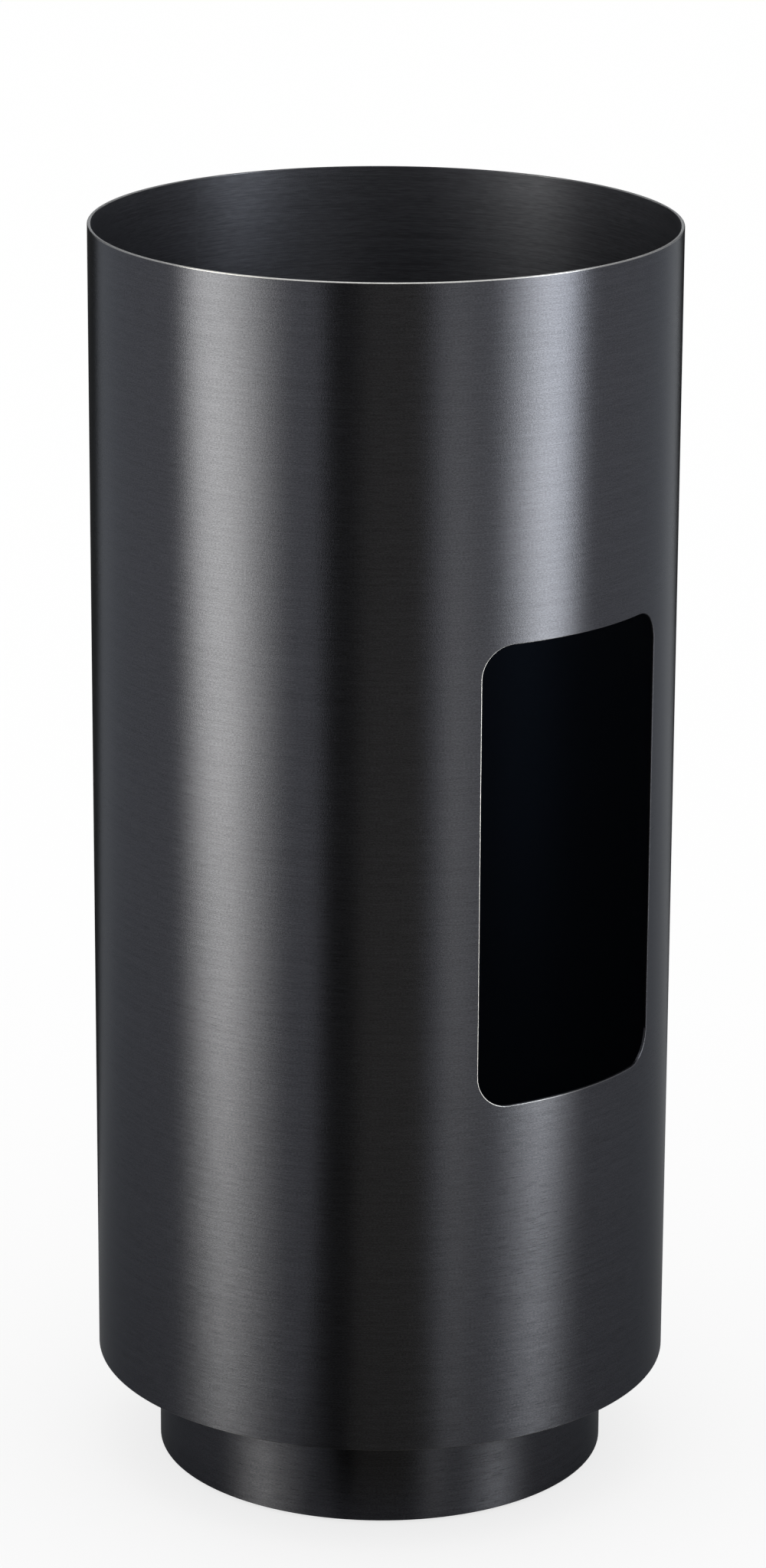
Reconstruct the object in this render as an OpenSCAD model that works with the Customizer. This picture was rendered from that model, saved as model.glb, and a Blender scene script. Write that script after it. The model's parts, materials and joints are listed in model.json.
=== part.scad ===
// Umbrella stand: a rolled steel tube with a side window on a set-back, weighted
// plinth, with a moulded drip tray that lifts out of the top.
// Units are millimetres. The origin is on the floor under the tube's axis, +Z is
// up and the window faces -Y. The tube's weld, ground flush, is at the back.

/* [Tube] */
// Outer diameter of the tube
shell_d = 250; // [235:1:300]
// Height of the stand, from the floor to the rim
stand_h = 550; // [480:1:650]
// Thickness of the tube's sheet
shell_t = 1.5; // [1:0.1:2.5]
// Rounding of the sheet's deburred edges
edge_r = 0.4; // [0.1:0.05:0.45]

/* [Window] */
// Width of the window, measured round the outside of the tube
window_w = 100; // [60:1:130]
// Height of the window
window_h = 200; // [100:1:280]
// Radius of the window's corners
window_r = 14; // [6:0.5:25]
// Height of the window's middle above the middle of the tube
window_rise = 0; // [-30:1:60]

/* [Floor pan] */
// Thickness of the pressed floor
pan_t = 1.5; // [1:0.1:2.5]
// Depth of the pan, from its lower lip to the top of the floor
pan_h = 14; // [10:0.5:25]
// Outside radius of the bend between the floor and the lip
pan_bend_r = 4; // [3:0.5:8]

/* [Plinth] */
// Outer diameter of the plinth ring
plinth_d = 196; // [186:1:225]
// Height of plinth that shows below the tube
plinth_h = 45; // [35:1:70]
// Thickness of the plinth ring
plinth_t = 1.5; // [1:0.1:2.5]
// Thickness of the deck plate that closes the plinth's top
deck_t = 2; // [1.5:0.1:4]

/* [Base weight] */
// Thickness of the cast base weight
weight_t = 12; // [11:0.5:20]
// Height of the weight's underside above the plinth's lower edge
weight_recess = 1; // [0.5:0.1:3]
// Chamfer round the weight's edges
weight_chamfer = 1.5; // [0.5:0.1:3]

/* [Clamp bolts] */
// Thread diameter of the bolts that hold the tube, plinth and weight together
bolt_d = 6; // [5:0.5:6.5]
// Metal left between the lock nuts' pockets and the weight's edge
bolt_margin = 13; // [5:0.5:20]
// Thickness of the steel washer under each bolt head
washer_t = 1.6; // [1:0.1:2.5]
// Thickness of the rubber sealing washer under each steel washer
seal_t = 1.5; // [1:0.1:3]
// Outer diameter of the spacer tubes between the deck and the weight
spacer_d = 12; // [11:0.5:18]

/* [Feet] */
// Diameter of the rubber feet
foot_d = 24; // [18:0.5:28]
// Height that the feet stand proud of the plinth's lower edge
foot_proud = 1.5; // [1:0.1:4]
// Depth of the pockets in the weight that the feet sit in
foot_seat = 5; // [3:0.1:6]
// Metal left between the feet's pockets and the weight's edge
foot_margin = 5; // [3:0.5:15]
// Thread diameter of the screws that hold the feet
foot_screw_d = 4; // [3:0.5:5]

/* [Drip tray] */
// Gap between the tray's rim and the inside of the tube
tray_gap = 3; // [2:0.1:6]
// Height of the tray, from the floor pan to the top of its rim
tray_h = 32; // [26:0.5:50]
// Thickness of the moulded tray
tray_t = 2; // [1.5:0.1:3]
// Gap between the bolt heads and the tray's underside
tray_clear = 1.6; // [1:0.1:5]
// Slope of the tray's wall from upright, in degrees
tray_draft = 4; // [1:0.5:8]
// Radius of the rolled bead round the tray's rim
tray_bead_r = 2; // [1.5:0.1:3]
// Outside radius between the tray's floor and wall
tray_corner_r = 8; // [5:0.5:10]
// Height of the ribs that keep umbrella tips out of the water
tip_rib_h = 3; // [1.5:0.1:6]
// Number of spokes in the pattern of ribs
tip_spokes = 12; // [6:1:18]
// Width of the two lifting tabs
tab_w = 38; // [32:1:60]
// Height of the lifting tabs above the tray's rim
tab_h = 18; // [16:0.5:30]
// Width of the finger slots in the tabs
tab_slot_w = 22; // [18:0.5:24]
// Height of the finger slots
tab_slot_h = 9; // [7:0.5:11]

/* [Hidden] */
$fn = 96;
FEET = [
    ["foot_front_right", -45],
    ["foot_rear_right", 45],
    ["foot_rear_left", 135],
    ["foot_front_left", 225],
];
SPACERS = [
    ["spacer_right", 0],
    ["spacer_rear", 90],
    ["spacer_left", 180],
    ["spacer_front", 270],
];

// Clearances between pieces
weld_gap = 0.1;    // round a welded or bonded joint
thread_gap = 0.05; // round a bolt in its nut or in a tapped hole
hole_gap = 0.3;    // round a bolt in a plain hole
cast_gap = 0.5;    // round a casting or a rubber foot in its pocket
rest_gap = 0.1;    // under the loose tray
wrench_gap = 2;    // round a nut, for a socket wrench
end_gap = 0.7;     // between a screw's end and the face that it stops short of
overcut = 1;       // how far a cutter runs past the face that it opens

// Radii of the tube, the pan and the plinth
shell_r = shell_d / 2;
shell_ri = shell_r - shell_t;
pan_r = shell_ri - weld_gap;
plinth_r = plinth_d / 2;
plinth_ri = plinth_r - plinth_t;
weight_r = plinth_ri - cast_gap;

// Levels, from the floor up
plinth_z = foot_proud;
weight_z = plinth_z + weight_recess;
weight_top_z = weight_z + weight_t;
shell_z = plinth_z + plinth_h;
pan_top_z = shell_z + pan_h;
pan_under_z = pan_top_z - pan_t;
deck_z = pan_under_z - deck_t;

// Bolts, washers and nuts, in the proportions of metric button-head screws
bolt_r = bolt_d / 2;
bolt_hole_r = bolt_r + hole_gap;
head_r = bolt_d * 0.875;
head_h = bolt_d * 0.55;
head_edge = 0.2; // share of a head's height that is below its dome
socket_r = bolt_d * 0.385;
socket_depth = bolt_d * 0.35;
washer_r = bolt_d;
seal_margin = 1; // of rubber round the steel washer
seal_r = washer_r + seal_margin;
nut_r = bolt_d * 0.96;
nut_h = bolt_d;
nut_bevel = nut_r * 0.1;
nut_collar_r = nut_r * 0.8;
nut_collar_h = nut_h * 0.3;
nut_pocket_r = nut_r + wrench_gap;
nut_web = 4;    // metal left above the nut pockets
nut_seat_z = weight_top_z - nut_web;
bolt_circle_r = weight_r - bolt_margin - nut_pocket_r;
bolt_proud = 1; // of the bolt's end past its nut
head_z = pan_top_z + seal_t + washer_t;
bolt_end_z = nut_seat_z - nut_h - bolt_proud;

// Feet and their screws
foot_r = foot_d / 2;
foot_circle_r = weight_r - foot_margin - cast_gap - foot_r;
foot_h = foot_seat + weight_recess + foot_proud;
foot_taper = 1;   // by which the sole is smaller all round
foot_round_r = 1; // of the sole's edge
foot_screw_r = foot_screw_d / 2;
foot_head_r = foot_screw_d;
foot_head_h = foot_screw_d * 0.65;
foot_web = foot_h / 2;
foot_head_z = foot_h - foot_web;
foot_screw_end_z = weight_top_z - end_gap;

// Drip tray
tray_z = pan_top_z + rest_gap;
tray_rim_r = shell_ri - tray_gap;
tray_rim_z = pan_top_z + tray_h;
tray_wall_top_r = tray_rim_r - tray_bead_r + tray_t / 2;
tray_wall_top_z = tray_rim_z - tray_bead_r;
tray_floor_z = head_z + head_h + tray_clear;
tray_inside_z = tray_floor_z + tray_t;
tray_base_r = tray_wall_top_r - (tray_wall_top_z - tray_floor_z) * tan(tray_draft);
skirt_out_r = tray_base_r - tray_corner_r;
skirt_in_r = bolt_circle_r - seal_r - 3 * tray_t;
tip_rib_t = tray_t;
tip_rib_out_r = skirt_out_r - 2 * tray_t;
tip_rib_in_r = tip_rib_out_r / 4;
tip_rings = 4;
drain_w = 5;    // of the gaps that let water through the rings of ribs
tab_r = 8;      // of the tab's upper corners
tab_band = 3.5; // of the tab above its slot

// Angle at the tube's axis, in degrees, of a length measured round its outside
function arc_angle(length) = length / shell_r * 180 / PI;

// Point at a distance and an angle from a centre
function polar(centre, radius, angle) =
    [centre[0] + radius * cos(angle), centre[1] + radius * sin(angle)];

// Strip of sheet seen end on, with its four edges rounded
module sheet_section(thickness, height, round_r) {
    translate([round_r, 0])
        square([thickness - 2 * round_r, height]);
    translate([0, round_r])
        square([thickness, height - 2 * round_r]);
    for (x = [round_r, thickness - round_r], y = [round_r, height - round_r])
        translate([x, y])
            circle(round_r);
}

// Ring rolled from a strip of sheet
module sheet_ring(outer_r, thickness, low_z, high_z) {
    rotate_extrude()
        translate([outer_r - thickness, low_z])
            sheet_section(thickness, high_z - low_z, edge_r);
}

// Washer or tube between two levels
module tube(outer_r, inner_r, low_z, high_z) {
    translate([0, 0, low_z])
        difference() {
            cylinder(r = outer_r, h = high_z - low_z);
            translate([0, 0, -overcut])
                cylinder(r = inner_r, h = high_z - low_z + 2 * overcut);
        }
}

// Copies at the four bolt stations
module at_bolts() {
    for (spacer = SPACERS)
        rotate(spacer[1])
            translate([bolt_circle_r, 0])
                children();
}

// Copies at the four foot stations
module at_feet() {
    for (foot = FEET)
        rotate(foot[1])
            translate([foot_circle_r, 0])
                children();
}

// Round bar between two levels, also as the cutter of a hole
module rod(radius, low_z, high_z) {
    translate([0, 0, low_z])
        cylinder(r = radius, h = high_z - low_z);
}

// Half of the window's outline, with two rounded corners, cut along its radius
module window_side() {
    rotate([90, 0, 90])
        linear_extrude(height = 2 * shell_r) {
            square([2 * window_r, window_h - 2 * window_r], center = true);
            for (end = [-1, 1])
                translate([0, end * (window_h / 2 - window_r)])
                    circle(window_r);
        }
}

// The window as it lies on the rolled sheet: cut flat, so its sides follow the
// radius of the tube and its width is an arc
module window_cut() {
    corner_angle = arc_angle(window_w / 2 - window_r);
    reach = 2 * shell_r;
    translate([0, 0, (shell_z + stand_h) / 2 + window_rise])
        rotate(-90) {
            for (side = [-1, 1])
                rotate(side * corner_angle)
                    window_side();
            linear_extrude(height = window_h, center = true)
                polygon([
                    [0, 0],
                    polar([0, 0], reach, -corner_angle),
                    polar([0, 0], reach, corner_angle),
                ]);
        }
}

module outer_shell() {
    color("#3c3d40")
        difference() {
            sheet_ring(shell_r, shell_t, shell_z, stand_h);
            window_cut();
        }
}

// Half section of a shallow dome, with a flat top and a rounded shoulder
module dome_section(radius, low_z, high_z, bend) {
    translate([0, low_z]) {
        square([radius - bend, high_z - low_z]);
        square([radius, high_z - low_z - bend]);
    }
    translate([radius - bend, high_z - bend])
        circle(bend);
}

module floor_pan() {
    color("#2b2c2e")
        difference() {
            rotate_extrude()
                difference() {
                    dome_section(pan_r, shell_z, pan_top_z, pan_bend_r);
                    dome_section(pan_r - pan_t, shell_z - overcut, pan_under_z, pan_bend_r - pan_t);
                }
            at_bolts()
                rod(bolt_hole_r, pan_under_z - overcut, pan_top_z + overcut);
        }
}

module plinth_ring() {
    color("#38393c")
        sheet_ring(plinth_r, plinth_t, plinth_z, pan_under_z);
}

module plinth_deck() {
    color("#2b2c2e")
        difference() {
            rod(plinth_ri - weld_gap, deck_z, pan_under_z);
            at_bolts()
                rod(bolt_hole_r, deck_z - overcut, pan_under_z + overcut);
        }
}

module base_weight() {
    color("#1f2021")
        difference() {
            rotate_extrude()
                polygon([
                    [0, weight_z],
                    [weight_r - weight_chamfer, weight_z],
                    [weight_r, weight_z + weight_chamfer],
                    [weight_r, weight_top_z - weight_chamfer],
                    [weight_r - weight_chamfer, weight_top_z],
                    [0, weight_top_z],
                ]);
            at_bolts() {
                rod(bolt_hole_r, weight_z - overcut, weight_top_z + overcut);
                rod(nut_pocket_r, weight_z - overcut, nut_seat_z);
            }
            at_feet() {
                rod(foot_r + cast_gap, weight_z - overcut, weight_z + foot_seat);
                rod(foot_screw_r + thread_gap, weight_z - overcut, weight_top_z + overcut);
            }
        }
}

module spacer(angle) {
    color("#b4b6b8")
        rotate(angle)
            translate([bolt_circle_r, 0])
                tube(spacer_d / 2, bolt_hole_r, weight_top_z, deck_z);
}

// Section of a low domed screw head, from the axis to its edge
module head_section(radius, height) {
    edge_h = height * head_edge;
    crown = height - edge_h;
    dome_r = (radius * radius + crown * crown) / (2 * crown);
    square([radius, edge_h]);
    intersection() {
        translate([0, edge_h])
            square([radius, crown]);
        translate([0, height - dome_r])
            circle(dome_r);
    }
}

module clamp_bolts() {
    color("#8d8f92")
        at_bolts()
            difference() {
                union() {
                    rod(bolt_r, bolt_end_z, head_z + head_h / 4);
                    translate([0, 0, head_z])
                        rotate_extrude()
                            head_section(head_r, head_h);
                }
                translate([0, 0, head_z + head_h - socket_depth])
                    cylinder(r = socket_r, h = head_h, $fn = 6);
            }
}

module clamp_washers() {
    color("#a9abad")
        at_bolts()
            tube(washer_r, bolt_hole_r, pan_top_z + seal_t, head_z);
}

module seal_washers() {
    color("#141414")
        at_bolts()
            tube(seal_r, bolt_hole_r, pan_top_z, pan_top_z + seal_t);
}

// Hexagon nuts, each with a locking collar below it
module lock_nuts() {
    hex_h = nut_h - nut_collar_h;
    color("#8d8f92")
        at_bolts()
            difference() {
                translate([0, 0, nut_seat_z - nut_h]) {
                    rod(nut_collar_r, 0, nut_collar_h);
                    translate([0, 0, nut_collar_h])
                        intersection() {
                            cylinder(r = nut_r, h = hex_h, $fn = 6);
                            rotate_extrude()
                                polygon([
                                    [0, 0],
                                    [nut_r - nut_bevel, 0],
                                    [nut_r, nut_bevel],
                                    [nut_r, hex_h],
                                    [0, hex_h],
                                ]);
                        }
                }
                rod(bolt_r + thread_gap, nut_seat_z - nut_h - overcut, nut_seat_z + overcut);
            }
}

// Rubber foot, tapered to a rounded sole, with a recess for its screw's head
module foot(angle) {
    sole_r = foot_r - foot_taper;
    color("#161616")
        rotate(angle)
            translate([foot_circle_r, 0])
                difference() {
                    rotate_extrude() {
                        polygon([
                            [0, 0],
                            [sole_r - foot_round_r, 0],
                            [sole_r, foot_round_r],
                            [foot_r, foot_h - foot_seat],
                            [foot_r, foot_h],
                            [0, foot_h],
                        ]);
                        translate([sole_r - foot_round_r, foot_round_r])
                            circle(foot_round_r);
                    }
                    rod(foot_head_r + cast_gap, -overcut, foot_head_z);
                    rod(foot_screw_r + thread_gap, 0, foot_h + overcut);
                }
}

module foot_screws() {
    color("#8d8f92")
        at_feet()
            difference() {
                union() {
                    rod(foot_screw_r, foot_head_z - foot_head_h / 4, foot_screw_end_z);
                    translate([0, 0, foot_head_z])
                        mirror([0, 0, 1])
                            rotate_extrude()
                                head_section(foot_head_r, foot_head_h);
                }
                for (turn = [0, 90])
                    translate([0, 0, foot_head_z - foot_head_h])
                        rotate(turn)
                            cube([foot_screw_d, foot_screw_d / 4, foot_head_h], center = true);
            }
}

// Inside of a dish with a sloping wall and a rounded corner, from the axis out.
// The inset makes it smaller all round, as for the inner face of the dish.
module dish_profile(inset, top_z) {
    corner = [
        tray_base_r - tray_corner_r * (1 - sin(tray_draft)) / cos(tray_draft),
        tray_floor_z + tray_corner_r,
    ];
    round_r = tray_corner_r - inset;
    top_r = tray_base_r + (top_z - tray_floor_z) * tan(tray_draft) - inset / cos(tray_draft);
    polygon([
        [0, tray_floor_z + inset],
        [corner[0], tray_floor_z + inset],
        polar(corner, round_r, -tray_draft),
        [top_r, top_z],
        [0, top_z],
    ]);
    translate(corner)
        circle(round_r);
}

// Floor and wall of the tray, with a rolled bead on the rim
module tray_dish() {
    rotate_extrude() {
        difference() {
            dish_profile(0, tray_wall_top_z);
            dish_profile(tray_t, tray_wall_top_z + overcut);
        }
        translate([tray_rim_r - tray_bead_r, tray_wall_top_z])
            circle(tray_bead_r);
    }
}

// Rings and spokes moulded on the tray's floor. The rings are broken between the
// spokes, so water spreads over the whole floor.
module tip_ribs() {
    pitch = (tip_rib_out_r - tip_rib_in_r) / (tip_rings - 1);
    turn = 360 / tip_spokes;
    low_z = tray_inside_z - tray_t / 2;
    high_z = tray_inside_z + tip_rib_h;
    difference() {
        for (ring = [0 : tip_rings - 1])
            tube(
                tip_rib_in_r + ring * pitch + tip_rib_t / 2,
                tip_rib_in_r + ring * pitch - tip_rib_t / 2,
                low_z,
                high_z
            );
        for (gap = [0 : tip_spokes - 1])
            rotate(gap * turn)
                translate([0, -drain_w / 2, tray_inside_z])
                    cube([tray_base_r, drain_w, tip_rib_h + overcut]);
    }
    for (spoke = [0 : tip_spokes - 1])
        rotate((spoke + 0.5) * turn)
            translate([tip_rib_in_r, -tip_rib_t / 2, low_z])
                cube([tip_rib_out_r - tip_rib_in_r, tip_rib_t, high_z - low_z]);
}

// Outline of a lifting tab, from inside the rim's bead to its rounded top
module tab_outline() {
    low = -tray_bead_r;
    translate([-tab_w / 2, low])
        square([tab_w, tab_h - tab_r - low]);
    translate([-(tab_w / 2 - tab_r), low])
        square([tab_w - 2 * tab_r, tab_h - low]);
    for (side = [-1, 1])
        translate([side * (tab_w / 2 - tab_r), tab_h - tab_r])
            circle(tab_r);
}

// Rounded slot for a finger
module tab_slot() {
    slot_r = tab_slot_h / 2;
    straight = tab_slot_w - tab_slot_h;
    translate([0, tab_h - tab_band - slot_r]) {
        square([straight, tab_slot_h], center = true);
        for (side = [-1, 1])
            translate([side * straight / 2, 0])
                circle(slot_r);
    }
}

// Tabs that stand on the rim and follow its curve, at the front and the back
module lifting_tabs() {
    tab_out_r = tray_rim_r - tray_bead_r + tray_t / 2;
    intersection() {
        tube(tab_out_r, tab_out_r - tray_t, tray_wall_top_z, tray_rim_z + tab_h + overcut);
        translate([0, 0, tray_rim_z])
            rotate([90, 0, 0])
                linear_extrude(height = 2 * shell_r, center = true)
                    difference() {
                        tab_outline();
                        tab_slot();
                    }
    }
}

module drip_tray() {
    color("#1b1b1d") {
        tray_dish();
        for (skirt_r = [skirt_in_r, skirt_out_r])
            tube(skirt_r, skirt_r - tray_t, tray_z, tray_floor_z + tray_t / 2);
        tip_ribs();
        lifting_tabs();
    }
}

outer_shell();
floor_pan();
plinth_ring();
plinth_deck();
base_weight();
for (item = SPACERS)
    spacer(item[1]);
clamp_bolts();
clamp_washers();
seal_washers();
lock_nuts();
for (item = FEET)
    foot(item[1]);
foot_screws();
drip_tray();
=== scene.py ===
"""Looks of the umbrella stand: a tube of blackened, brushed steel on a set-back plinth,
with a moulded drip tray inside. Lengths are metres and angles are degrees."""

import json
import math

import bpy
from mathutils import Matrix, Vector


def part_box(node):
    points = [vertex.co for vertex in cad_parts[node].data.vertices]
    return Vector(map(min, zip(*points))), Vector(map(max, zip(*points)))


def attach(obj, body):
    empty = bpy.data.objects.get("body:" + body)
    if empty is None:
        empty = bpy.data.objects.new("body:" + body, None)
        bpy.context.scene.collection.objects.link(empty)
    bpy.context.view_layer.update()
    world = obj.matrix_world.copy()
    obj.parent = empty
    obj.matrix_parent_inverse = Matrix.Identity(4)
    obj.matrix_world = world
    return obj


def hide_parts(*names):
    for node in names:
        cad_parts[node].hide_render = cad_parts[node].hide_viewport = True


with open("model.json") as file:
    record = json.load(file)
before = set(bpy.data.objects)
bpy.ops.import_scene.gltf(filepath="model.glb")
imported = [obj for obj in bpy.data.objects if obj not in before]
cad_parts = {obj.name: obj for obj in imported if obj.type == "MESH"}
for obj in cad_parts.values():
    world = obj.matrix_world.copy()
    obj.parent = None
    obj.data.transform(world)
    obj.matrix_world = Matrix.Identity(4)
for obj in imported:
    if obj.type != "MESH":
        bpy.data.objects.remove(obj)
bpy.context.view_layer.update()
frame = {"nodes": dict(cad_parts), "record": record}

# Camera
CAMERA_AZIMUTH = -41.7123
CAMERA_DISTANCE = 2.2204
CAMERA_HEIGHT = 0.991
CAMERA_PITCH = 17.2008
CAMERA_ROLL = 0.3022
CAMERA_LENS = 123.585           # millimetres, as Blender takes it
SENSOR_WIDTH = 36.0             # the same
CLIP_START, CLIP_END = 0.05, 100.0

# Room and floor
ROOM_LEVEL = 0.6                # how brightly the white room lights matt surfaces
SEEN = ("Is Camera Ray", "Is Glossy Ray", "Is Transmission Ray")
MIRRORED = ("Is Glossy Ray",)
FLOOR_RADIUS = 30.0
FLOOR_STEPS = 64
FLOOR_ALBEDO = 0.42
FLOOR_LIFT = 0.745              # brings the lit floor up to white where it is seen or mirrored
FALLOFF_START = 0.10            # the floor's mirrored light fades in from here
FALLOFF_END = 1.60              # to here
NEAR_DIMMING = 0.9              # by this share of its lift
UNDER_RADIUS = 0.090            # within it the floor glows up at the underside, behind the plinth
UNDER_FADE = 0.002

# Softboxes and flags
SOFTBOX_DISTANCE = 0.8
SOFTBOX_FADE = 1.6              # how steeply they fade to their sides
LEAN_PIVOT = 0.42               # how far up them their brightest line keeps its place
FOOT_GLOW = 1.32                # how much brighter they are at the foot
FOOT_SHARE = 0.25               # and how much of their height that takes
WARM = (1.0, 0.965, 0.83)
NEUTRAL = (0.98, 0.975, 0.88)
COOL = (0.90, 0.975, 1.06)
FLAG_STEPS = 8
FLAG_FADE = 0.15, 1.0           # share of a flag's colour that shows by the stand and far off: painted shade, darker by the stand
FLAG_LYING = ((0.118, 0.002), (1.0, 0.002), (2.6, 0.002))       # distance and height
FLAG_RISING = FLAG_LYING + ((2.9, 0.15), (3.0, 0.5), (3.0, 2.0))

# Tube, as in the part's source
SHEET_T = 0.0015
EDGE_R = 0.0004
WINDOW_W = 0.100
WINDOW_H = 0.200
WINDOW_R = 0.014
FLAT = WINDOW_W / 2 - WINDOW_R  # half of the window's straight top
TALL = WINDOW_H / 2 - WINDOW_R  # half of its straight side

# Its mesh
WINDOW_MARGIN = 0.014           # of mesh that follows the window's outline round it
NEAR_WINDOW = (0.007, 0.0025, 0.001)    # its loops' distances from the edge
ARC_STEPS = 12                  # in each of the window's corners
WIDTH_STEPS = 16                # along the window's straight top
HEIGHT_STEPS = 12               # along its straight side
GIRTH_STEPS = 150               # round the rest of the tube
ROW_H = 0.02
FILLET_STEPS = 4                # across each of a deburred edge's two rounds
SAME_PLACE = 7                  # decimals to which points of one row or column agree

# Wear, and painted glints of bare steel
ROUND_BARE = 0.28               # how far the rim's outer round is rubbed back to bare steel
TOP_BARE = 0.45                 # its top
EDGE_BARE = 0.1                 # and the tube's lower edge
GLINT_SIDE = Vector((-0.665, -0.747, 0))      # the camera's side, where the rim is bare steel as a painted glint
GLINT_SPREAD = 8                  # the higher, the narrower that painted glint
WINDOW_GLINT_SPARED = 0.75        # share of the window's painted glint that its top and bottom lack

# Steel
STEEL_COLOUR = (0.0515, 0.0525, 0.0605)
SEAM_COLOUR = (0.10, 0.10, 0.105, 1)
DEEP_COLOUR = (0.042, 0.051, 0.070, 1)      # bluer and a little darker lower down inside the tube
DEEP_FROM, DEEP_TO = 0.45, 0.33             # heights between which it changes
BARE_LOW, BARE_HIGH = (0.66, 0.65, 0.63, 1), (0.86, 0.85, 0.83, 1)
EDGE_ON_TINT = (0.585, 0.60, 0.615, 1)
ROUND_THE_GIRTH = 0.25          # of a turn from the tangent, for the anisotropy
PER_MILLIMETRE = 1000.0         # keeps the brush marks of the sheet's two sides apart
SEAM_W = 0.0016
SEAM_SHOWS = 0.06               # it is ground flush, brushed over and blackened with the rest
GRIT = 0.0010, 0.00036          # brush marks' length and width
FINE = 0.007, 0.0004
BROAD = 0.05, 0.0016
MARK_MIX = 0.52, 0.32, 0.16     # grit's, fine and broad marks' shares of the colour's pattern
MARK_RANGE = 0.38, 0.62         # of it that becomes dark to light
MARK_DEPTH = 0.000006
SHEEN_MIX = 0.75, 0.25          # fine and broad marks' shares of the roughness's pattern
SHEEN_RANGE = 0.36, 0.64        # of it that becomes smooth to rough
SHEEN_SPREAD = 0.018
CLOUD_SCALE, CLOUD_SPREAD = 18.0, 0.012     # a slow drift of the roughness
CLOUD_RANGE = 0.3, 0.7
GRAIN_SCALE, GRAIN_DEPTH = 2400.0, 0.00003

# Other finishes
PITS_PER_GRAIN = 0.35
PIT_RANGE = 0.34, 0.28          # of their noise, from none to full
PIT_DEPTH = 0.6                 # as a share of the grain's height
DRIFT_SCALE = 25.0
DRIFT_MIX = 0.6, 0.4            # the drift's and the grain's shares of the colour's pattern
DRIFT_RANGE = 0.38, 0.62        # of it that becomes the first colour to the second
GLOSS_RANGE = 0.7, 1.3          # of the drift plus the grain that becomes smooth to rough
RUBBED_ROUGHER = 0.06
EDGE_MATCH = 0.97, 0.80         # how alike true and rounded normals are on faces and worn edges
EDGE_SAMPLES = 4
PATCH_SCALE, PATCH_RANGE = 220.0, (0.40, 0.55)

# Marks in the tray
SCRATCH_SCALE = 14.0, 1100.0, 14.0          # of the noise in x, y and z: they run along x
SCRATCH_TURNS = 25, 108         # of the stretched noise, each of which gives other scratches
SCRATCH_RANGE = 0.70, 0.74
SCRATCH_SHOWS = 0.6
DRIP_SCALE, DRIP_RANDOMNESS = 60.0, 0.6
DRIP_RADIUS = 0.20              # of a ring, in cells
DRIP_EDGE = 0.05, 0.01          # how far off that line it starts to show and shows in full
DRIP_CHANCE = 0.68, 0.70        # only cells above it have one
DRIP_SHOWS = 0.4
LOOKS_UP = 0.85, 0.95           # the normal's upward share on faces that catch the marks


# ---------------------------------------------------------------- camera and studio

def add_camera():
    """The camera, a little above the stand and well to the left of its window."""
    data = bpy.data.cameras.new("camera")
    data.sensor_width = SENSOR_WIDTH
    data.lens = CAMERA_LENS
    data.clip_start, data.clip_end = CLIP_START, CLIP_END
    camera = bpy.data.objects.new("camera", data)
    bpy.context.scene.collection.objects.link(camera)
    camera.matrix_world = (
        Matrix.Rotation(math.radians(CAMERA_AZIMUTH), 4, "Z")
        @ Matrix.Translation((0, -CAMERA_DISTANCE, CAMERA_HEIGHT))
        @ Matrix.Rotation(math.radians(90 - CAMERA_PITCH), 4, "X")
        @ Matrix.Rotation(math.radians(CAMERA_ROLL), 4, "Z")
    )
    bpy.context.scene.camera = camera


def around(azimuth, distance, height):
    """A point round the stand; azimuth runs to the right from the camera's side."""
    turn = math.radians(azimuth + CAMERA_AZIMUTH)
    return Vector((distance * math.sin(turn), -distance * math.cos(turn), height))


def new_mesh(name, verts, faces):
    mesh = bpy.data.meshes.new(name)
    mesh.from_pydata([tuple(v) for v in verts], [], [tuple(f) for f in faces])
    piece = bpy.data.objects.new(name, mesh)
    bpy.context.scene.collection.objects.link(piece)
    return piece


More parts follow.
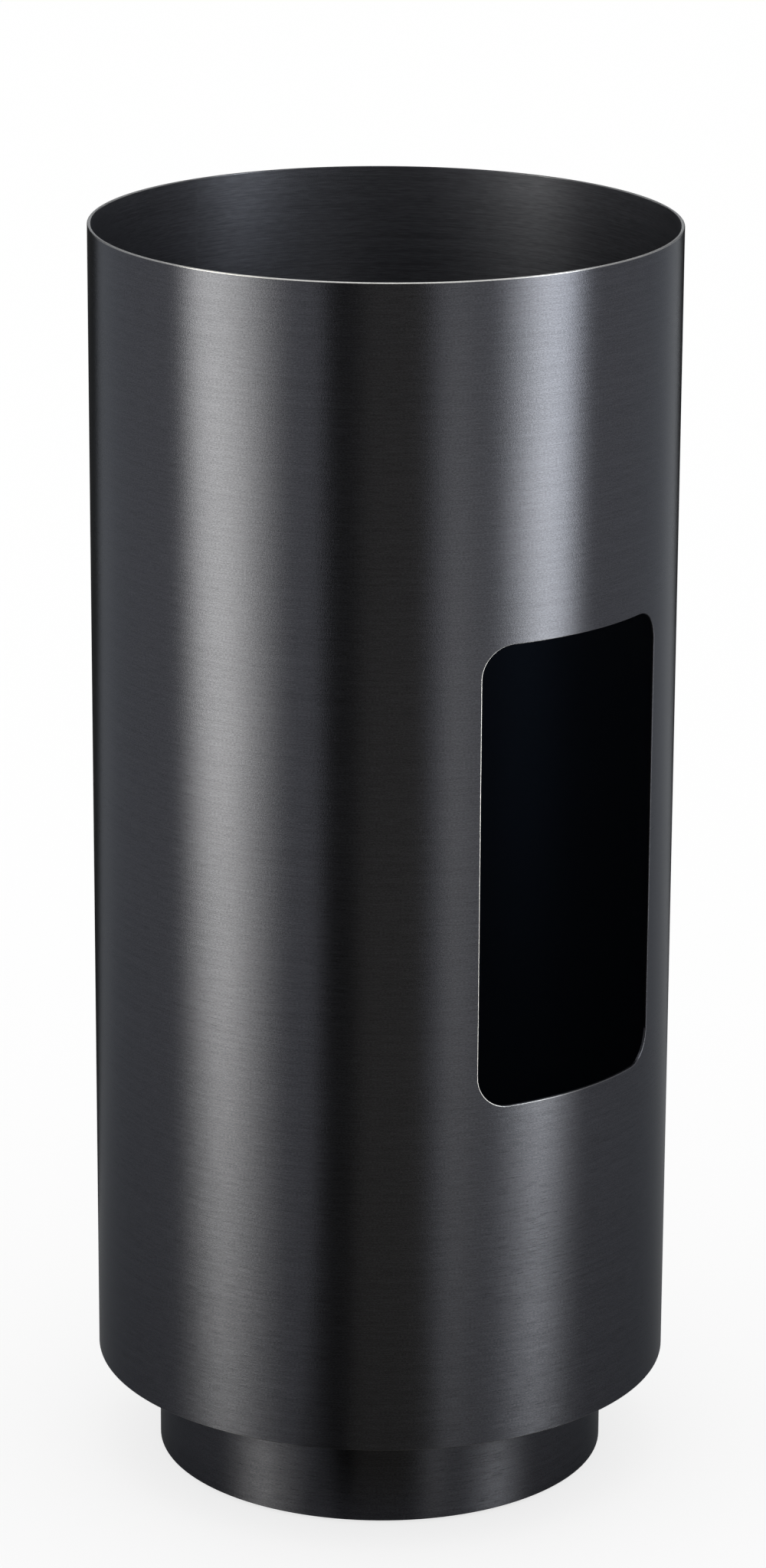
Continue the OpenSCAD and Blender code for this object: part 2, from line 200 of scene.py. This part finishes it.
class Tree:
    """A node tree, with a short call for each kind of node used here."""

    def __init__(self, owner):
        owner.use_nodes = True
        self.nodes = owner.node_tree.nodes
        self.links = owner.node_tree.links

    def feed(self, socket, value):
        if isinstance(value, bpy.types.NodeSocket):
            self.links.new(value, socket)
        elif isinstance(value, bpy.types.Node):
            self.links.new(value.outputs[0], socket)
        else:
            socket.default_value = value

    def add(self, kind, inputs=None, **settings):
        made = self.nodes.new("ShaderNode" + kind)
        for name, value in settings.items():
            setattr(made, name, value)
        for key, value in (inputs or {}).items():
            self.feed(made.inputs[key], value)
        return made

    def calc(self, operation, *values):
        made = self.add("Math", operation=operation)
        for socket, value in zip(made.inputs, values):
            self.feed(socket, value)
        return made.outputs[0]

    def total(self, *weighted):
        """The sum of values, each with its weight."""
        result = None
        for value, weight in weighted:
            part = self.calc("MULTIPLY", value, weight)
            result = part if result is None else self.calc("ADD", result, part)
        return result

    def noise(self, vector, scale=1.0, detail=2.0, roughness=0.5):
        inputs = {"Vector": vector, "Scale": scale, "Detail": detail, "Roughness": roughness}
        return self.add("TexNoise", inputs).outputs[0]

    def remap(self, value, low, high, out_low=0.0, out_high=1.0):
        inputs = {"Value": value, "From Min": low, "From Max": high,
                  "To Min": out_low, "To Max": out_high}
        return self.add("MapRange", inputs).outputs[0]

    def tint(self, factor, colour_a, colour_b):
        made = self.add("Mix", data_type="RGBA")
        self.feed(made.inputs[0], factor)
        self.feed(made.inputs[6], colour_a)
        self.feed(made.inputs[7], colour_b)
        return made.outputs[2]

    def bump(self, height, distance, below=None):
        inputs = {"Height": height, "Distance": distance, "Strength": 1.0}
        if below is not None:
            inputs["Normal"] = below
        return self.add("Bump", inputs).outputs[0]

    def place(self):
        """The place on the piece, which its motion doesn't change."""
        return self.add("TexCoord").outputs["Object"]

    def distance(self):
        """How far a place on the floor is from the stand's axis."""
        place = self.add("NewGeometry").outputs["Position"]
        return self.add("VectorMath", {0: place}, operation="LENGTH").outputs["Value"]

    def falloff(self, low, high):
        """From low by the stand to high in the distance."""
        return self.remap(self.distance(), FALLOFF_START, FALLOFF_END, low, high)

    def any_of(self, names):
        """1 for the kinds of ray named, otherwise 0."""
        path = self.add("LightPath")
        result = path.outputs[names[0]]
        for name in names[1:]:
            result = self.calc("MAXIMUM", result, path.outputs[name])
        return result


def new_material(name):
    material = bpy.data.materials.new(name)
    tree = Tree(material)
    return material, tree, tree.nodes["Principled BSDF"]


def white_room():
    """The world: white where it is seen or mirrored, and a plain soft fill for the rest."""
    world = bpy.data.worlds.new("room")
    bpy.context.scene.world = world
    world.cycles.sampling_method = "NONE"
    tree = Tree(world)
    level = tree.remap(tree.any_of(SEEN), 0, 1, ROOM_LEVEL, 1.0)
    tree.feed(tree.nodes["Background"].inputs["Strength"], level)
    tree.feed(tree.nodes["Background"].inputs["Color"], (1, 1, 1, 1))


def floor_glow(tree):
    """The floor's own light: its lift, less of it in reflections near the stand, and a full glow
    under the plinth."""
    lift = tree.calc("MULTIPLY", tree.any_of(SEEN), FLOOR_LIFT)
    dimming = tree.falloff(NEAR_DIMMING * FLOOR_LIFT, 0.0)
    lift = tree.calc("SUBTRACT", lift, tree.calc("MULTIPLY", tree.any_of(MIRRORED), dimming))
    under = tree.remap(tree.distance(), UNDER_RADIUS, UNDER_RADIUS - UNDER_FADE)
    return tree.add("Emission", {"Strength": tree.calc("MAXIMUM", lift, under)})


def floor():
    """A plain pale floor that keeps the stand's shadow and is clear from below."""
    turns = [2 * math.pi * k / FLOOR_STEPS for k in range(FLOOR_STEPS)]
    rim = [(FLOOR_RADIUS * math.cos(t), FLOOR_RADIUS * math.sin(t), 0) for t in turns]
    piece = new_mesh("floor", rim, [range(FLOOR_STEPS)])
    material, tree, shader = new_material("floor_paper")
    material.cycles.emission_sampling = "NONE"
    tree.nodes.remove(shader)
    paper = tree.add("BsdfDiffuse", {"Color": (FLOOR_ALBEDO,) * 3 + (1,)})
    lit = tree.add("AddShader", {0: paper, 1: floor_glow(tree)})
    clear = tree.add("BsdfTransparent")
    below = tree.add("NewGeometry").outputs["Backfacing"]
    both = tree.add("MixShader", {0: below, 1: lit, 2: clear})
    tree.feed(tree.nodes["Material Output"].inputs["Surface"], both)
    piece.data.materials.append(material)
    return piece


def softbox_light(data, hot, radiance, colours, lean):
    """Colour and strength over a softbox's face; `hot` is how far across its brightest line is."""
    tree = Tree(data)
    face = tree.add("NewGeometry").outputs["Parametric"]
    across, up, _ = tree.add("SeparateXYZ", {0: face}).outputs
    foot, head = colours
    tree.feed(tree.nodes["Emission"].inputs["Color"], tree.tint(up, (*foot, 1), (*head, 1)))
    shift = tree.remap(up, 0, 1, -LEAN_PIVOT * lean, (1 - LEAN_PIVOT) * lean)
    hot = tree.calc("ADD", shift, hot)
    nearest = tree.calc("MINIMUM", tree.remap(across, 0.0, hot), tree.remap(across, 1.0, hot))
    fade = tree.calc("POWER", nearest, SOFTBOX_FADE)
    glow = tree.remap(up, 0, FOOT_SHARE, FOOT_GLOW * radiance, radiance)
    tree.feed(tree.nodes["Emission"].inputs["Strength"], tree.calc("MULTIPLY", fade, glow))


def softbox(name, start, peak, end, low, high, radiance, colours, lean, unlit):
    """An upright soft lamp facing the stand, brightest at the azimuth `peak` and fading to both
    sides, with a colour at its foot and another at its top. Its brightest line leans sideways by
    `lean` of its width. It doesn't light the pieces in the collection `unlit`."""
    spread = end - start
    data = bpy.data.lights.new(name, "AREA")
    data.shape = "RECTANGLE"
    data.size = 2 * SOFTBOX_DISTANCE * math.tan(math.radians(spread / 2))
    data.size_y = high - low
    data.energy = math.pi * data.size * data.size_y     # so its size doesn't change its brightness
    softbox_light(data, (peak - start) / spread, radiance, colours, lean)
    lamp = bpy.data.objects.new(name, data)
    bpy.context.scene.collection.objects.link(lamp)
    place = around((start + end) / 2, SOFTBOX_DISTANCE, (low + high) / 2)
    lamp.location = place
    lamp.rotation_euler = (Vector((0, 0, place.z)) - place).to_track_quat("-Z", "Y").to_euler()
    lamp.visible_camera = False
    lamp.light_linking.receiver_collection = unlit


def flag(name, start, end, albedo, profile):
    """A dark cloth between two azimuths: it lies on the floor, and may rise beyond the picture,
    and only the steel's reflections show it."""
    turns = [start + (end - start) * k / FLAG_STEPS for k in range(FLAG_STEPS + 1)]
    verts = [around(turn, *place) for place in profile for turn in turns]
    row = len(turns)
    corners = [i * row + k for i in range(len(profile) - 1) for k in range(FLAG_STEPS)]
    piece = new_mesh(name, verts, [(c, c + 1, c + row + 1, c + row) for c in corners])
    material, tree, shader = new_material(name)
    # painted shade: the cloth's colour darkens towards the stand
    cloth = tree.tint(tree.falloff(*FLAG_FADE), (0, 0, 0, 1), (*albedo, 1))
    tree.feed(shader.inputs["Base Color"], cloth)
    shader.inputs["Roughness"].default_value = 1.0
    shader.inputs["Specular IOR Level"].default_value = 0.0
    piece.data.materials.append(material)
    piece.visible_camera = False
    piece.visible_diffuse = False
    piece.visible_shadow = False
    piece.visible_transmission = False


def studio():
    white_room()
    unlit = bpy.data.collections.new("unlit_by_softboxes")
    unlit.objects.link(floor())
    unlit.collection_objects[0].light_linking.link_state = "EXCLUDE"
    softbox("softbox_left", start=-82, peak=-66, end=-33, low=0.02, high=1.00,
            radiance=11.0, colours=(WARM, NEUTRAL), lean=-0.5, unlit=unlit)
    softbox("softbox_right", start=38, peak=65, end=80, low=0.10, high=1.05,
            radiance=13.0, colours=(NEUTRAL, COOL), lean=0.5, unlit=unlit)
    softbox("softbox_low", start=18, peak=24, end=46, low=0.00, high=0.32,
            radiance=2.1, colours=(WARM, NEUTRAL), lean=0.0, unlit=unlit)
    flag("flag_left", -23, -9, (0.13, 0.125, 0.11), FLAG_RISING)
    flag("flag_right", -9, 17, (0.58, 0.545, 0.47), FLAG_RISING)
    flag("flag_behind_right", 153, 171, (0.05, 0.05, 0.05), FLAG_RISING)
    flag("flag_behind", 171, 189, (0.05, 0.05, 0.05), FLAG_LYING)
    flag("flag_behind_left", 189, 217, (0.10, 0.10, 0.10), FLAG_RISING)


# ---------------------------------------------------------------- the tube's mesh

class Skin:
    """A mesh in the making: vertices with their normals and how bare each is, and faces."""

    def __init__(self):
        self.verts, self.normals, self.bare = [], [], []
        self.faces, self.inside = [], []

    def vertex(self, place, normal, bare=0.0):
        self.verts.append(tuple(place))
        self.normals.append(tuple(Vector(normal).normalized()))
        self.bare.append(bare)
        return len(self.verts) - 1

    def face(self, corners, inside=False):
        self.faces.append(corners)
        self.inside.append(int(inside))

    def bridge(self, rings, inside=False):
        """Faces between each closed ring and the next, which has as many vertices."""
        for ring, following in zip(rings, rings[1:]):
            for k in range(len(ring)):
                n = (k + 1) % len(ring)
                self.face((ring[k], ring[n], following[n], following[k]), inside)

    def make(self, name):
        """The piece, with its outside in material slot 0 and its inside in slot 1."""
        piece = new_mesh(name, self.verts, self.faces)
        mesh = piece.data
        mesh.shade_smooth()
        mesh.normals_split_custom_set_from_vertices(self.normals)
        mesh.attributes.new("bare", "FLOAT", "POINT").data.foreach_set("value", self.bare)
        mesh.materials.append(None)
        mesh.materials.append(None)
        mesh.polygons.foreach_set("material_index", self.inside)
        return piece


def tube_point(u, z, depth, radius):
    """A point in the sheet, u round the outside from the window's middle, and its outward normal.
    Past the window's straight top the sheet is measured straight across, as the cutter is."""
    r = radius - depth
    if abs(u) <= FLAT:
        turn = u / radius
    else:
        turn = math.copysign(FLAT / radius + math.asin((abs(u) - FLAT) / r), u)
    across, forward = math.sin(turn), -math.cos(turn)
    return Vector((r * across, r * forward, z)), Vector((across, forward, 0))


def window_spokes():
    """Round the window anticlockwise: the middle that each point is measured from, and its
    direction."""
    corners = [(FLAT, -TALL), (FLAT, TALL), (-FLAT, TALL), (-FLAT, -TALL)]
    spokes = []
    for k, (u, v) in enumerate(corners):
        for step in range(ARC_STEPS):
            turn = math.pi / 2 * (k - 1 + step / ARC_STEPS)
            spokes.append((u, v, math.cos(turn), math.sin(turn)))
        turn = math.pi / 2 * k
        next_u, next_v = corners[(k + 1) % 4]
        steps = HEIGHT_STEPS if k % 2 == 0 else WIDTH_STEPS
        for step in range(steps):
            part = step / steps
            along = (u + (next_u - u) * part, v + (next_v - v) * part)
            spokes.append((*along, math.cos(turn), math.sin(turn)))
    return spokes


def border_point(spoke):
    """Where a spoke ends on the rectangular border round the window."""
    u, v, n_u, n_v = spoke
    length = (WINDOW_R + WINDOW_MARGIN) / max(abs(n_u), abs(n_v))
    return round(u + n_u * length, SAME_PLACE), round(v + n_v * length, SAME_PLACE)


def fillet_profile():
    """Across a deburred edge from the outside in: (distance back from the edge, depth, turn)."""
    turns = [math.pi / 2 * k / FILLET_STEPS for k in range(FILLET_STEPS + 1)]
    outside = [(EDGE_R * (1 - math.sin(t)), EDGE_R * (1 - math.cos(t)), t) for t in turns]
    inside = [(back, SHEET_T - depth, math.pi - t) for back, depth, t in reversed(outside)]
    return outside + inside


def on_outer_round(turn):
    return 0 < turn < math.pi / 2


def window_glint(spoke):
    """How far the window's deburred edge is bare steel there, as a painted glint: most on its left.
    """
    u, _, n_u, n_v = spoke
    return (1 - n_u) / 2 * (1 - WINDOW_GLINT_SPARED * abs(n_v)) * (0.5 - u / WINDOW_W)


def rim_wear_and_glint(out, turn):
    """How bare the rim is at that side of the tube: its round and its top wear differently, and both
    turn barer towards the camera's side as a painted glint, the top less bare away from it.
    """
    # painted glint: the rim turns barer towards the camera's side
    side = out.dot(GLINT_SIDE)
    rubbed = max(side, 0) ** GLINT_SPREAD
    if on_outer_round(turn):
        return ROUND_BARE + (1 - ROUND_BARE) * rubbed
    return TOP_BARE * (1 + min(side, 0)) + (1 - TOP_BARE) * rubbed


def spaced(start, end):
    """Heights from start up to just short of end, about ROW_H apart."""
    count = max(1, round(abs(end - start) / ROW_H))
    return [start + (end - start) * k / count for k in range(count)]


class Tube:
    """The rolled tube with its window, deburred all round, as one closed skin. Its mesh lines are
    straight rows and columns, and within the window's border they follow the window's outline."""

    def __init__(self):
        low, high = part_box("outer_shell")
        self.radius = high.x
        self.low, self.high = low.z, high.z
        self.middle = (low.z + high.z) / 2
        self.skin = Skin()
        self.spokes = window_spokes()
        self.border = [border_point(spoke) for spoke in self.spokes]
        self.edge_u = sorted({u for u, _ in self.border})
        self.edge_v = sorted({v for _, v in self.border})
        below = spaced(low.z + EDGE_R - self.middle, self.edge_v[0])
        above = spaced(high.z - EDGE_R - self.middle, self.edge_v[-1])
        self.rows = below + self.edge_v + above[::-1]

    def columns(self, depth):
        """Every column's outward normal at that depth, from the window's left all the way round."""
        near = [tube_point(u, 0, depth, self.radius)[1] for u in self.edge_u]
        start = math.atan2(near[-1].x, -near[-1].y)
        span = 2 * math.pi - 2 * start
        turns = [start + span * k / GIRTH_STEPS for k in range(1, GIRTH_STEPS)]
        return near + [Vector((math.sin(t), -math.cos(t), 0)) for t in turns]

    def side(self, depth, facing):
        """The outer (facing 1) or inner (facing -1) side round the window's border, and its
        vertices by row and column."""
        outs = self.columns(depth)
        count, last = len(outs), len(self.edge_u) - 1
        bottom, top = self.edge_v[0], self.edge_v[-1]
        grid = {}
        for i, v in enumerate(self.rows):
            for k, out in enumerate(outs):
                if not (bottom < v < top and 0 < k < last):
                    place = out * (self.radius - depth) + Vector((0, 0, self.middle + v))
                    grid[i, k] = self.skin.vertex(place, out * facing)
        for i, v in enumerate(self.rows[:-1]):
            for k in range(count):
                if not (bottom <= v < top and k < last):
                    n = (k + 1) % count
                    corners = [grid[c] for c in ((i, k), (i, n), (i + 1, n), (i + 1, k))]
                    self.skin.face(corners[::facing], facing < 0)
        return grid

    def border_ring(self, grid):
        return [grid[self.rows.index(v), self.edge_u.index(u)] for u, v in self.border]

    def spoke_point(self, spoke, length, depth):
        """A point that far out on a spoke, its outward normal and the direction into the window."""
        u, v, n_u, n_v = spoke
        height = self.middle + v + n_v * length
        place, out = tube_point(u + n_u * length, height, depth, self.radius)
        turn = math.copysign(FLAT / self.radius, u)
        across = -(Vector((math.cos(turn), math.sin(turn), 0)) * n_u + Vector((0, 0, n_v)))
        return place, out, across

    def flat_ring(self, length, depth, facing):
        """Round the window on a side of the sheet, that far from its edge."""
        points = [self.spoke_point(s, WINDOW_R + length, depth) for s in self.spokes]
        return [self.skin.vertex(place, out * facing) for place, out, _ in points]

    def edge_ring(self, back, depth, turn):
        """Round the window where the skin has turned over by that much."""
        ring = []
        for spoke in self.spokes:
            place, out, across = self.spoke_point(spoke, WINDOW_R + back, depth)
            normal = out * math.cos(turn) + across * math.sin(turn)
            # painted glint: bare steel on the window's left edge
            bare = window_glint(spoke) if on_outer_round(turn) else 0.0
            ring.append(self.skin.vertex(place, normal, bare))
        return ring

    def edge_window(self, outer, inner):
        """From the border to the window, over its deburred edge and back to the border inside."""
        rings = [self.border_ring(outer)]
        rings += [self.flat_ring(length, 0, 1) for length in NEAR_WINDOW]
        rings += [self.edge_ring(*stage) for stage in fillet_profile()]
        back = [rings[-1]]
        back += [self.flat_ring(length, SHEET_T, -1) for length in reversed(NEAR_WINDOW)]
        back.append(self.border_ring(inner))
        self.skin.bridge(rings)
        self.skin.bridge(back, inside=True)

    def girth_ring(self, z, depth, turn, up):
        """Round the rim or the lower edge, where the skin has turned over by that much."""
        ring = []
        for out in self.columns(depth):
            place = out * (self.radius - depth) + Vector((0, 0, z))
            normal = out * math.cos(turn) + Vector((0, 0, up)) * math.sin(turn)
            ring.append(self.skin.vertex(place, normal, rim_wear_and_glint(out, turn) if up > 0 else EDGE_BARE))
        return ring

    def edge_girth(self, outer, inner, row, edge_z, up):
        """Over the rim (up 1) or under the lower edge (up -1), from the outside in."""
        columns = range(len(self.edge_u) + GIRTH_STEPS - 1)
        rings = [[outer[row, k] for k in columns]]
        rings += [self.girth_ring(edge_z - up * back, depth, turn, up)
                  for back, depth, turn in fillet_profile()[1:-1]]
        rings.append([inner[row, k] for k in columns])
        self.skin.bridge(rings[::up])

    def make(self):
        outer, inner = self.side(0, 1), self.side(SHEET_T, -1)
        self.edge_window(outer, inner)
        self.edge_girth(outer, inner, len(self.rows) - 1, self.high, 1)
        self.edge_girth(outer, inner, 0, self.low, -1)
        piece = self.skin.make("tube")
        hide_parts("outer_shell")
        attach(piece, "stand")
        return piece


# ---------------------------------------------------------------- materials

def girth_coordinates(tree):
    """Distance round the tube, height, radius, and 1 on the ground weld up the back."""
    x, y, z = tree.add("SeparateXYZ", {0: tree.place()}).outputs
    turn = tree.calc("ARCTAN2", x, tree.calc("MULTIPLY", y, -1.0))
    squares = tree.calc("ADD", tree.calc("MULTIPLY", x, x), tree.calc("MULTIPLY", y, y))
    radius = tree.calc("SQRT", squares)
    along = tree.calc("MULTIPLY", turn, radius)
    half = tree.calc("MULTIPLY", radius, math.pi)
    from_seam = tree.calc("SUBTRACT", half, tree.calc("ABSOLUTE", along))
    seam = tree.remap(from_seam, SEAM_W, SEAM_W / 2)
    return along, z, radius, seam


def streaks(tree, along, z, radius, size, detail):
    """Brush marks of about that length and width."""
    length, width = size
    stretched = tree.add("CombineXYZ", {
        0: tree.calc("DIVIDE", along, length),
        1: tree.calc("DIVIDE", z, width),
        2: tree.calc("MULTIPLY", radius, PER_MILLIMETRE),
    })
    return tree.noise(stretched, detail=detail)


def blackened_steel(name, roughness, anisotropy, metallic, stretch, contrast, inside=False):
    """Dark stainless steel brushed round the tube, with bare metal where its edges are rubbed, and as
    painted glints on the rim towards the camera and on the window's left edge.
    Its brush marks are `stretch` times as long, and lighter and darker by `contrast`."""
    material, tree, shader = new_material(name)
    along, z, radius, seam = girth_coordinates(tree)
    grit, fine, broad = [
        streaks(tree, along, z, radius, (length * stretch, width), detail)
        for (length, width), detail in ((GRIT, 1.0), (FINE, 2.0), (BROAD, 2.0))
    ]
    marks = tree.remap(tree.total(*zip((grit, fine, broad), MARK_MIX)), *MARK_RANGE)
    low = [c * (1 - contrast) for c in STEEL_COLOUR]
    high = [c * (1 + contrast) for c in STEEL_COLOUR]
    dark = tree.tint(marks, (*low, 1), (*high, 1))
    # inside, the colour turns bluer and a little darker lower down
    if inside:
        dark = tree.tint(tree.remap(z, DEEP_FROM, DEEP_TO), dark, DEEP_COLOUR)
    dark = tree.tint(tree.calc("MULTIPLY", seam, SEAM_SHOWS), dark, SEAM_COLOUR)
    steel = tree.tint(marks, BARE_LOW, BARE_HIGH)
    bare = tree.add("Attribute", attribute_name="bare").outputs["Fac"]
    tree.feed(shader.inputs["Base Color"], tree.tint(bare, dark, steel))

    sheen = tree.total(*zip((fine, broad), SHEEN_MIX))
    rough = tree.remap(sheen, *SHEEN_RANGE, roughness - SHEEN_SPREAD, roughness + SHEEN_SPREAD)
    cloud = tree.noise(tree.place(), CLOUD_SCALE, detail=3.0)
    drift = tree.remap(cloud, *CLOUD_RANGE, -CLOUD_SPREAD, CLOUD_SPREAD)
    tree.feed(shader.inputs["Roughness"], tree.calc("ADD", rough, drift))
    grain = tree.bump(tree.noise(tree.place(), GRAIN_SCALE, detail=1.0), GRAIN_DEPTH)
    tree.feed(shader.inputs["Normal"], tree.bump(marks, MARK_DEPTH, grain))

    shader.inputs["Metallic"].default_value = metallic
    shader.inputs["Specular Tint"].default_value = EDGE_ON_TINT
    shader.inputs["Anisotropic"].default_value = anisotropy
    shader.inputs["Anisotropic Rotation"].default_value = ROUND_THE_GIRTH
    tree.feed(shader.inputs["Tangent"], tree.add("Tangent", direction_type="RADIAL", axis="Z"))
    return material


def worn_edges(tree, reach):
    """1 along the sharp edges and 0 on the faces, broken up as rubbing is."""
    rounded = tree.add("Bevel", {"Radius": reach}, samples=EDGE_SAMPLES).outputs[0]
    plain = tree.add("NewGeometry").outputs["Normal"]
    match = tree.add("VectorMath", {0: rounded, 1: plain}, operation="DOT_PRODUCT").outputs["Value"]
    patches = tree.noise(tree.place(), PATCH_SCALE, detail=3.0)
    return tree.calc("MULTIPLY", tree.remap(match, *EDGE_MATCH), tree.remap(patches, *PATCH_RANGE))


def scratches(tree, place, turn):
    """Sparse straight scratches along x, others for each turn of the noise."""
    turned = tree.add("Mapping", {0: place, 2: (0, 0, math.radians(turn)), 3: SCRATCH_SCALE})
    return tree.remap(tree.noise(turned.outputs[0], detail=1.0), *SCRATCH_RANGE)


def water_marks(tree, place):
    """Faint rings where drips have dried, a few millimetres across, in some places only."""
    spread = {"Vector": place, "Scale": DRIP_SCALE, "Randomness": DRIP_RANDOMNESS}
    cells = tree.add("TexVoronoi", spread, voronoi_dimensions="2D")
    ring = tree.calc("ABSOLUTE", tree.calc("SUBTRACT", cells.outputs["Distance"], DRIP_RADIUS))
    chance = tree.add("SeparateColor", {0: cells.outputs["Color"]}).outputs[0]
    return tree.calc("MULTIPLY", tree.remap(ring, *DRIP_EDGE), tree.remap(chance, *DRIP_CHANCE))


def tray_marks(tree, place):
    """Scratches from umbrella tips and dried drips, on the faces that look up."""
    lines = tree.calc("MAXIMUM", *[scratches(tree, place, turn) for turn in SCRATCH_TURNS])
    rings = tree.calc("MULTIPLY", water_marks(tree, place), DRIP_SHOWS)
    marks = tree.calc("MAXIMUM", tree.calc("MULTIPLY", lines, SCRATCH_SHOWS), rings)
    facing = tree.add("SeparateXYZ", {0: tree.add("NewGeometry").outputs["Normal"]}).outputs[2]
    return tree.calc("MULTIPLY", marks, tree.remap(facing, *LOOKS_UP))


def finish(name, colour, other, worn, roughness, grain, depth, metallic=0.0, reach=0.0004,
           marks=None):
    """A finish that drifts between two colours, with an even grain of that size raised by that
    depth, and edges and marks rubbed to a third colour."""
    material, tree, shader = new_material(name)
    place = tree.place()
    lumps = tree.noise(place, 1.0 / grain, detail=3.0)
    pits = tree.remap(tree.noise(place, PITS_PER_GRAIN / grain), *PIT_RANGE)
    cloud = tree.noise(place, DRIFT_SCALE, detail=4.0)
    shift = tree.total(*zip((cloud, lumps), DRIFT_MIX))
    skin = tree.tint(tree.remap(shift, *DRIFT_RANGE), (*colour, 1), (*other, 1))
    rubbed = worn_edges(tree, reach)
    if marks:
        rubbed = tree.calc("MAXIMUM", rubbed, marks(tree, place))
    tree.feed(shader.inputs["Base Color"], tree.tint(rubbed, skin, (*worn, 1)))
    gloss = tree.remap(tree.calc("ADD", lumps, cloud), *GLOSS_RANGE, *roughness)
    dulled = tree.calc("ADD", gloss, tree.calc("MULTIPLY", rubbed, RUBBED_ROUGHER))
    tree.feed(shader.inputs["Roughness"], dulled)
    height = tree.calc("SUBTRACT", lumps, tree.calc("MULTIPLY", pits, PIT_DEPTH))
    tree.feed(shader.inputs["Normal"], tree.bump(height, depth))
    shader.inputs["Metallic"].default_value = metallic
    return material


def make_materials():
    """One for each slot in the record: the colour, the colour that it drifts to, and the colour
    that its edges wear to, then how it is made."""
    return {
        "blackened_steel": blackened_steel(
            "blackened_steel", roughness=0.295, anisotropy=1.0, metallic=1.0,
            stretch=1.0, contrast=0.24),
        "coated_steel": finish(
            "coated_steel", (0.026, 0.026, 0.028), (0.036, 0.036, 0.038), (0.085, 0.084, 0.082),
            roughness=(0.40, 0.58), grain=0.0011, depth=0.00005),
        "cast_iron": finish(
            "cast_iron", (0.030, 0.029, 0.029), (0.058, 0.055, 0.053), (0.13, 0.115, 0.10),
            roughness=(0.50, 0.78), grain=0.0016, depth=0.00035, reach=0.0010),
        "plated_steel": finish(
            "plated_steel", (0.52, 0.54, 0.57), (0.67, 0.67, 0.64), (0.80, 0.80, 0.79),
            roughness=(0.20, 0.36), grain=0.0007, depth=0.00002, metallic=1.0, reach=0.0002),
        "seal_rubber": finish(
            "seal_rubber", (0.017, 0.017, 0.017), (0.027, 0.027, 0.026), (0.045, 0.044, 0.042),
            roughness=(0.70, 0.88), grain=0.0006, depth=0.00004),
        "foot_rubber": finish(
            "foot_rubber", (0.020, 0.020, 0.021), (0.034, 0.034, 0.033), (0.075, 0.073, 0.068),
            roughness=(0.66, 0.88), grain=0.0008, depth=0.00006, reach=0.0006),
        "tray_plastic": finish(
            "tray_plastic", (0.021, 0.022, 0.024), (0.031, 0.032, 0.034), (0.075, 0.076, 0.078),
            roughness=(0.36, 0.54), grain=0.0005, depth=0.00004, marks=tray_marks),
    }


def dress_nodes():
    """Gives each CAD node the material of its slot in the record, and the tube its new skin."""
    materials = make_materials()
    for part in frame["record"]["subparts"]:
        slots = frame["nodes"][part["node"]].data.materials
        slots.clear()
        slots.append(materials[part["material_slot"]])
    skin = Tube().make().data
    skin.materials[0] = materials["blackened_steel"]
    skin.materials[1] = blackened_steel(
        "blackened_steel_inside", roughness=0.40, anisotropy=0.6, metallic=0.80,
        stretch=5.0, contrast=0.2, inside=True)


bpy.context.scene.view_settings.view_transform = "Standard"
add_camera()
studio()
dress_nodes()
